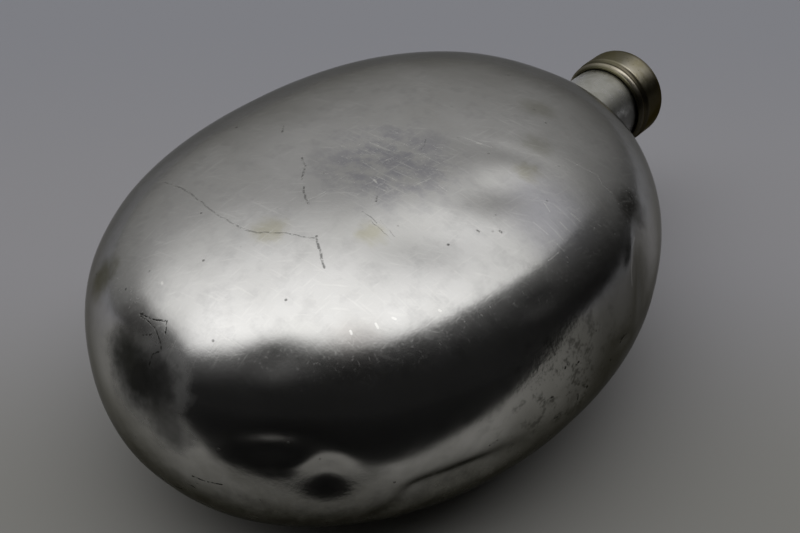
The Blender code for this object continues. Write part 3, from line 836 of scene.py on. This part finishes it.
tree, shader, place = start_finish("turned_aluminium", neck)
along_neck = add(tree, "SeparateXYZ", [place], "Y")
rings = {"W": along_neck, "Scale": 1 / RING_SPACING, "Detail": 2}
rings = add(tree, "TexNoise", rings, noise_dimensions="1D")
blotches = add(tree, "TexNoise", {"Vector": place, "Scale": 1 / FOG_SIZE, "Detail": 4})
fogged = add(tree, "MapRange", [blotches, 0.4, 0.7])
colour = add(
    tree, "Mix", {"Factor": fogged, "A": linear("#ebeae2"), "B": linear("#c9c8bd")}, data_type="RGBA"
)
# Painted shade on the neck's underside.
underside_shade = add(tree, "VectorMath", [place, NECK_SHADED_SIDE], operation="DOT_PRODUCT")
underside_shade = add(tree, "Math", [blotches, 6, underside_shade], operation="MULTIPLY_ADD")
underside_shade = add(tree, "MapRange", [underside_shade, 2, 8, 0, 0.9], interpolation_type="SMOOTHSTEP")
colour = add(tree, "Mix", {"Factor": underside_shade, "A": colour, "B": linear("#45443e")}, data_type="RGBA")
# A painted reflection of the brass cap beside its rim, and a darker band where the neck meets its flange.
for band_height, reach, strength in (
    (RIM_Y / MILLIMETRE, 1.4, 0.6),
    (FLANGE_Y / MILLIMETRE + 1.5, 1.6, 0.7),
):
    away = add(tree, "Math", [along_neck, band_height], operation="SUBTRACT")
    away = add(tree, "Math", [away], operation="ABSOLUTE")
    away = add(tree, "Math", [blotches, 1.5, away], operation="MULTIPLY_ADD")
    dark_band = add(tree, "MapRange", [away, reach, 0.6, 0, strength], interpolation_type="SMOOTHSTEP")
    colour = add(tree, "Mix", {"Factor": dark_band, "A": colour, "B": linear("#6a6350")}, data_type="RGBA")
tree.links.new(colour, shader.inputs["Base Color"])
shader.inputs["Metallic"].default_value = 1
gloss = add(tree, "MapRange", [blotches, 0.3, 0.7, 0.24, 0.38])
tree.links.new(gloss, shader.inputs["Roughness"])
relief = add(tree, "Math", [rings, 0.012], operation="MULTIPLY")
relief = add(tree, "Math", [blotches, 0.03, relief], operation="MULTIPLY_ADD")
bump = add(tree, "Bump", {"Height": relief, "Strength": 1, "Distance": MILLIMETRE})
tree.links.new(bump, shader.inputs["Normal"])
print("the turned aluminium has", len(tree.nodes), "nodes")

# %% [markdown]
# ## The cap
#
# The cap is spun from thin sheet: a deep round head, a groove pressed below it, a bead, and a turned-in
# rim. Inside sit a threaded brass liner and a rubber seal.

# %% Cap
CAP_BARREL_RADIUS, CAP_CORNER_RADIUS, CAP_CROWN_RISE, CAP_WALL = 0.0151, 0.0048, 0.0005, 0.0006
RIM_DEPTH, BEAD_DEPTH, GROOVE_DEPTH = 0.0012, 0.0003, 0.0009
BEAD_HEIGHT, BEAD_HALF_WIDTH, GROOVE_HEIGHT, SHOULDER_HEIGHT = 0.0018, 0.0011, 0.0034, 0.0048
CAP_HEADROOM = 0.005
CAP_TOP_Y = LIP_Y + CAP_HEADROOM
CROWN_STEPS, BEAD_STEPS = 12, 12

corner_radius = CAP_BARREL_RADIUS - CAP_CORNER_RADIUS
groove_radius = CAP_BARREL_RADIUS - GROOVE_DEPTH
rim_radius = CAP_BARREL_RADIUS - RIM_DEPTH
bead_radius = CAP_BARREL_RADIUS - BEAD_DEPTH
profile = [
    (corner_radius * i / CROWN_STEPS, CAP_TOP_Y + CAP_CROWN_RISE * (1 - (i / CROWN_STEPS) ** 2))
    for i in range(CROWN_STEPS)
]
profile += arc(corner_radius, CAP_TOP_Y - CAP_CORNER_RADIUS, CAP_CORNER_RADIUS, 90, 0, 16)
profile += arc(groove_radius, RIM_Y + SHOULDER_HEIGHT, GROOVE_DEPTH, 0, -60, 6)
profile.append((groove_radius, RIM_Y + GROOVE_HEIGHT))
for i in range(BEAD_STEPS + 1):
    part = 1 - 2 * i / BEAD_STEPS
    foot = groove_radius if part > 0 else rim_radius
    swell = (bead_radius - foot) * math.cos(part * math.pi / 2)
    profile.append((foot + swell, RIM_Y + BEAD_HEIGHT + part * BEAD_HALF_WIDTH))
profile.append((rim_radius, RIM_Y))
cap = turned("cap", profile, False)
sheet = cap.modifiers.new("sheet", "SOLIDIFY")
sheet.thickness = CAP_WALL
sheet.offset = -1
sheet.use_even_offset = True
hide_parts("cap_shell")
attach(cap, "cap")
print("cap has", len(cap.data.polygons), "faces")

# %% [markdown]
# ## Nickel plate on brass
#
# Thin nickel lets the warm brass show where it is worn. Painted shade darkens the rim and the groove, and a
# painted highlight lightens the bead between them. The cap's underside and the far side of its head are
# darkened with painted shade.

# %% Nickel plate
TARNISH_SIZE, PIT_SIZE = 5, 0.8
CAP_SHADED_SIDE, CAP_FAR_SHADED_SIDE = (0.85, 0, -0.5), (-0.5, 0, 0.86)

tree, shader, place = start_finish("nickel_plate", cap)
along_cap = add(tree, "SeparateXYZ", [place], "Y")
blotches = {"Vector": place, "Scale": 1 / TARNISH_SIZE, "Detail": 4, "Roughness": 0.6}
blotches = add(tree, "TexNoise", blotches)
grain = add(tree, "TexNoise", {"Vector": place, "Scale": 1 / PIT_SIZE, "Detail": 2})
tarnish = add(tree, "MapRange", [blotches, 0.35, 0.65])
colour = add(
    tree, "Mix", {"Factor": tarnish, "A": linear("#ddd6c4"), "B": linear("#bfb79b")}, data_type="RGBA"
)
# Painted shade on the rim and in the groove, and a painted highlight on the bead.
for band_y, reach, painted_band_colour, strength in (
    (RIM_Y, 1.5, "#55523a", 0.9),
    (RIM_Y + GROOVE_HEIGHT, 1.4, "#4c4433", 0.85),
    (RIM_Y + BEAD_HEIGHT, 1.2, "#e0d7c6", 0.8),
):
    away = add(tree, "Math", [along_cap, band_y / MILLIMETRE], operation="SUBTRACT")
    away = add(tree, "Math", [away], operation="ABSOLUTE")
    painted_light_band = add(tree, "MapRange", [away, reach, 0.4 * reach, 0, strength], interpolation_type="SMOOTHSTEP")
    colour = add(tree, "Mix", {"Factor": painted_light_band, "A": colour, "B": linear(painted_band_colour)}, data_type="RGBA")
# Painted shade on the cap's underside.
underside_shade = add(tree, "VectorMath", [place, CAP_SHADED_SIDE], operation="DOT_PRODUCT")
underside_shade = add(tree, "Math", [blotches, 6, underside_shade], operation="MULTIPLY_ADD")
underside_shade = add(tree, "MapRange", [underside_shade, 4, 11, 0, 0.95], interpolation_type="SMOOTHSTEP")
colour = add(tree, "Mix", {"Factor": underside_shade, "A": colour, "B": linear("#3b372c")}, data_type="RGBA")
# Painted shade on the far upper side of the cap's head.
far_side_shade = add(tree, "VectorMath", [place, CAP_FAR_SHADED_SIDE], operation="DOT_PRODUCT")
far_side_shade = add(tree, "MapRange", [far_side_shade, 9, 13, 0, 0.7], interpolation_type="SMOOTHSTEP")
colour = add(tree, "Mix", {"Factor": far_side_shade, "A": colour, "B": linear("#5a5846")}, data_type="RGBA")
pits = add(tree, "MapRange", [grain, 0.68, 0.76, 0, 0.6])
colour = add(tree, "Mix", {"Factor": pits, "A": colour, "B": linear("#3b3424")}, data_type="RGBA")
tree.links.new(colour, shader.inputs["Base Color"])
shader.inputs["Metallic"].default_value = 1
shader.inputs["Specular Tint"].default_value = linear("#a39f90")
gloss = add(tree, "MapRange", [blotches, 0.3, 0.7, 0.3, 0.42])
tree.links.new(gloss, shader.inputs["Roughness"])
relief = add(tree, "Math", [grain, 0.006], operation="MULTIPLY")
relief = add(tree, "Math", [blotches, 0.04, relief], operation="MULTIPLY_ADD")
bump = add(tree, "Bump", {"Height": relief, "Strength": 1, "Distance": MILLIMETRE})
tree.links.new(bump, shader.inputs["Normal"])
print("the nickel plate has", len(tree.nodes), "nodes")

# %% [markdown]
# ## Inside the cap
#
# The liner's thread groove is cut in the CAD model, so a merged copy of that node keeps it, shaded smooth
# except where its edges are sharp. The seal is a plain disc whose upper edge follows the cap's inner
# corner.

# %% Liner
SHARP_ANGLE = math.radians(50)

liner = bpy.data.objects.new("liner", bpy.data.meshes.new("liner"))
bpy.context.scene.collection.objects.link(liner)
bm = bmesh.new()
bm.from_mesh(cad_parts["cap_thread_liner"].data)
bmesh.ops.remove_doubles(bm, verts=bm.verts, dist=MERGE_DISTANCE)
bmesh.ops.recalc_face_normals(bm, faces=bm.faces)
bm.to_mesh(liner.data)
bm.free()
liner.data.shade_smooth()
liner.data.set_sharp_from_angle(angle=SHARP_ANGLE)
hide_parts("cap_thread_liner")
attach(liner, "cap")
print("liner has", len(liner.data.polygons), "faces")

# %% Seal
SEAL_RADIUS, SEAL_THICKNESS, SEAL_ROUNDING = 0.0126, 0.0038, 0.0004
SEAL_Y = LIP_Y + PIECE_GAP

seal_corner = CAP_CORNER_RADIUS - CAP_WALL - PIECE_GAP
edge_angle = math.degrees(math.acos((SEAL_RADIUS - corner_radius) / seal_corner))
profile = [(0, SEAL_Y + SEAL_THICKNESS), (corner_radius / 2, SEAL_Y + SEAL_THICKNESS)]
profile += arc(corner_radius, CAP_TOP_Y - CAP_CORNER_RADIUS, seal_corner, 90, edge_angle)
profile += arc(SEAL_RADIUS - SEAL_ROUNDING, SEAL_Y + SEAL_ROUNDING, SEAL_ROUNDING, 0, -90, 4)
profile.append((0, SEAL_Y))
seal = turned("seal", profile, False)
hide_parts("seal_disc")
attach(seal, "cap_seal")
print("seal has", len(seal.data.polygons), "faces")

# %% [markdown]
# ## Brass and rubber
#
# The bare brass of the liner has gone dull and brown in patches, with yellow left between them. The old
# seal is hard black rubber, greyed by dust and pressed shiny where the lip bears on it.

# %% Bare brass
BROWN_SIZE, BRASS_RELIEF = 3, 0.00004

tree, shader, place = start_finish("bare_brass", liner)
blotches = {"Vector": place, "Scale": 1 / BROWN_SIZE, "Detail": 4, "Roughness": 0.65}
blotches = add(tree, "TexNoise", blotches)
browned = add(tree, "MapRange", [blotches, 0.35, 0.65])
colour = add(
    tree, "Mix", {"Factor": browned, "A": linear("#c3a566"), "B": linear("#7a6238")}, data_type="RGBA"
)
tree.links.new(colour, shader.inputs["Base Color"])
shader.inputs["Metallic"].default_value = 1
gloss = add(tree, "MapRange", [blotches, 0.3, 0.7, 0.28, 0.5])
tree.links.new(gloss, shader.inputs["Roughness"])
bump = add(tree, "Bump", {"Height": blotches, "Strength": 1, "Distance": BRASS_RELIEF})
tree.links.new(bump, shader.inputs["Normal"])
print("the brass has", len(tree.nodes), "nodes")

# %% Seal rubber
DUST_SIZE, RUBBER_RELIEF = 2, 0.00006
LIP_MARK_RADIUS = (BORE_RADIUS + CORE_RADIUS) / 2 / MILLIMETRE

tree, shader, place = start_finish("seal_rubber", seal)
dust = {"Vector": place, "Scale": 1 / DUST_SIZE, "Detail": 5, "Roughness": 0.7}
dust = add(tree, "TexNoise", dust)
dusty = add(tree, "MapRange", [dust, 0.45, 0.7])
colour = add(
    tree, "Mix", {"Factor": dusty, "A": linear("#1d1c1b"), "B": linear("#4a4744")}, data_type="RGBA"
)
tree.links.new(colour, shader.inputs["Base Color"])
sideways = add(tree, "VectorMath", [place, (1, 0, 1)], operation="MULTIPLY")
ring = add(tree, "VectorMath", [sideways], operation="LENGTH")
ring = add(tree, "Math", [ring, LIP_MARK_RADIUS], operation="SUBTRACT")
ring = add(tree, "Math", [ring], operation="ABSOLUTE")
gloss = add(tree, "MapRange", [ring, 0.5, 1.2, 0.45, 0.8], interpolation_type="SMOOTHSTEP")
tree.links.new(gloss, shader.inputs["Roughness"])
bump = add(tree, "Bump", {"Height": dust, "Strength": 1, "Distance": RUBBER_RELIEF})
tree.links.new(bump, shader.inputs["Normal"])
print("the rubber has", len(tree.nodes), "nodes")
